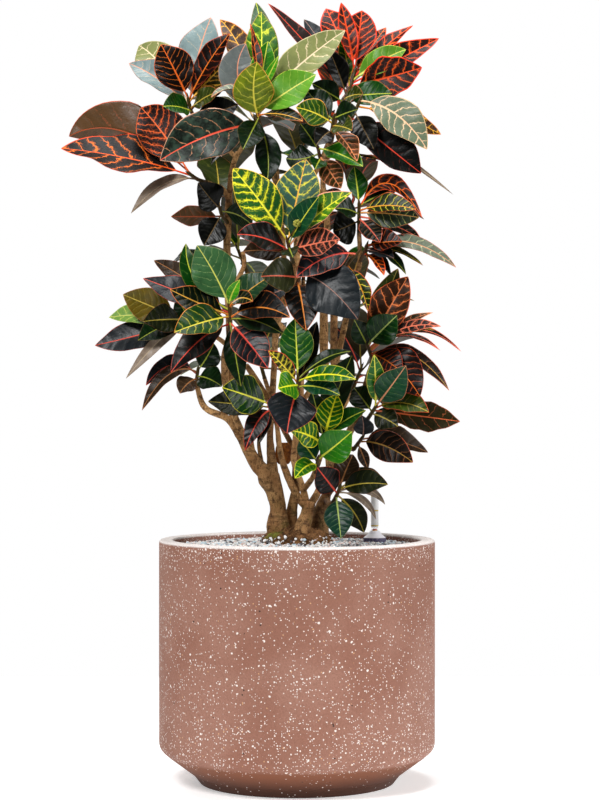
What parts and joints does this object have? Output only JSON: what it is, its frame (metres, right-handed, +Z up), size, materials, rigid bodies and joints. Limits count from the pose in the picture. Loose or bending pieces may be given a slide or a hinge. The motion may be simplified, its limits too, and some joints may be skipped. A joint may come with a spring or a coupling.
{
  "type": "potted croton",
  "caption": "Large many-stemmed croton with broad veined leaves in a round terrazzo planter filled with granulate, with a water-level gauge.",
  "frame": {"origin": "middle of the planter's flat foot, on the floor", "axes": "+Z up through the planter and the plant; -Y is the front, which the picture shows; +X is to the right as seen from the front"},
  "size_m": [0.615, 0.5115, 1.2242],
  "materials": {
    "planter": "speckled cast composite",
    "gravel": "loose small stones",
    "root_ball": "rough, soil and old roots",
    "bark": "rough bark",
    "green_leaves": "glossy leaf",
    "dark_leaves": "glossy leaf",
    "red_leaves": "glossy leaf",
    "pale_leaves": "glossy leaf",
    "dry_leaf": "dry, matt",
    "gauge_tube": "clear",
    "gauge_grey": "satin",
    "gauge_float": "satin"
  },
  "bodies": {
    "root": {"shoot_j": "green_leaves", "shoot_m": "dark_leaves", "shoot_p": "green_leaves", "shoot_q": "green_leaves", "shoot_q_low": "green_leaves", "shoot_o": "green_leaves", "shoot_t_left": "dark_leaves", "shoot_t": "dark_leaves", "shoot_c": "pale_leaves", "shoot_f": "green_leaves", "shoot_r": "dark_leaves", "shoot_a": "pale_leaves", "shoot_b": "red_leaves", "shoot_k": "green_leaves", "shoot_d": "red_leaves", "shoot_e": "pale_leaves", "shoot_g": "green_leaves", "shoot_h": "dark_leaves", "shoot_i": "dark_leaves", "shoot_s_top": "red_leaves", "shoot_s_middle": "green_leaves", "shoot_s_low": "dark_leaves", "shoot_l": "dark_leaves", "shoot_n": "dark_leaves", "shoot_back_1": "green_leaves", "shoot_back_2": "green_leaves", "shoot_back_3": "dark_leaves", "shoot_back_4": "green_leaves", "shoot_back_5": "red_leaves", "shoot_back_6": "green_leaves", "shoot_back_7": "pale_leaves", "shoot_back_8": "red_leaves", "shoot_back_9": "dark_leaves", "planter": "planter", "gravel": "gravel", "root_ball": "root_ball", "stem_left": "bark", "stem_centre": "bark", "stem_right": "bark", "stem_back": "bark", "gauge_tube": "gauge_tube", "gauge_collar": "gauge_grey", "gauge_shaft": "gauge_grey", "gauge_float": "gauge_float", "dry_leaf": "dry_leaf"}
  },
  "joints": []
}
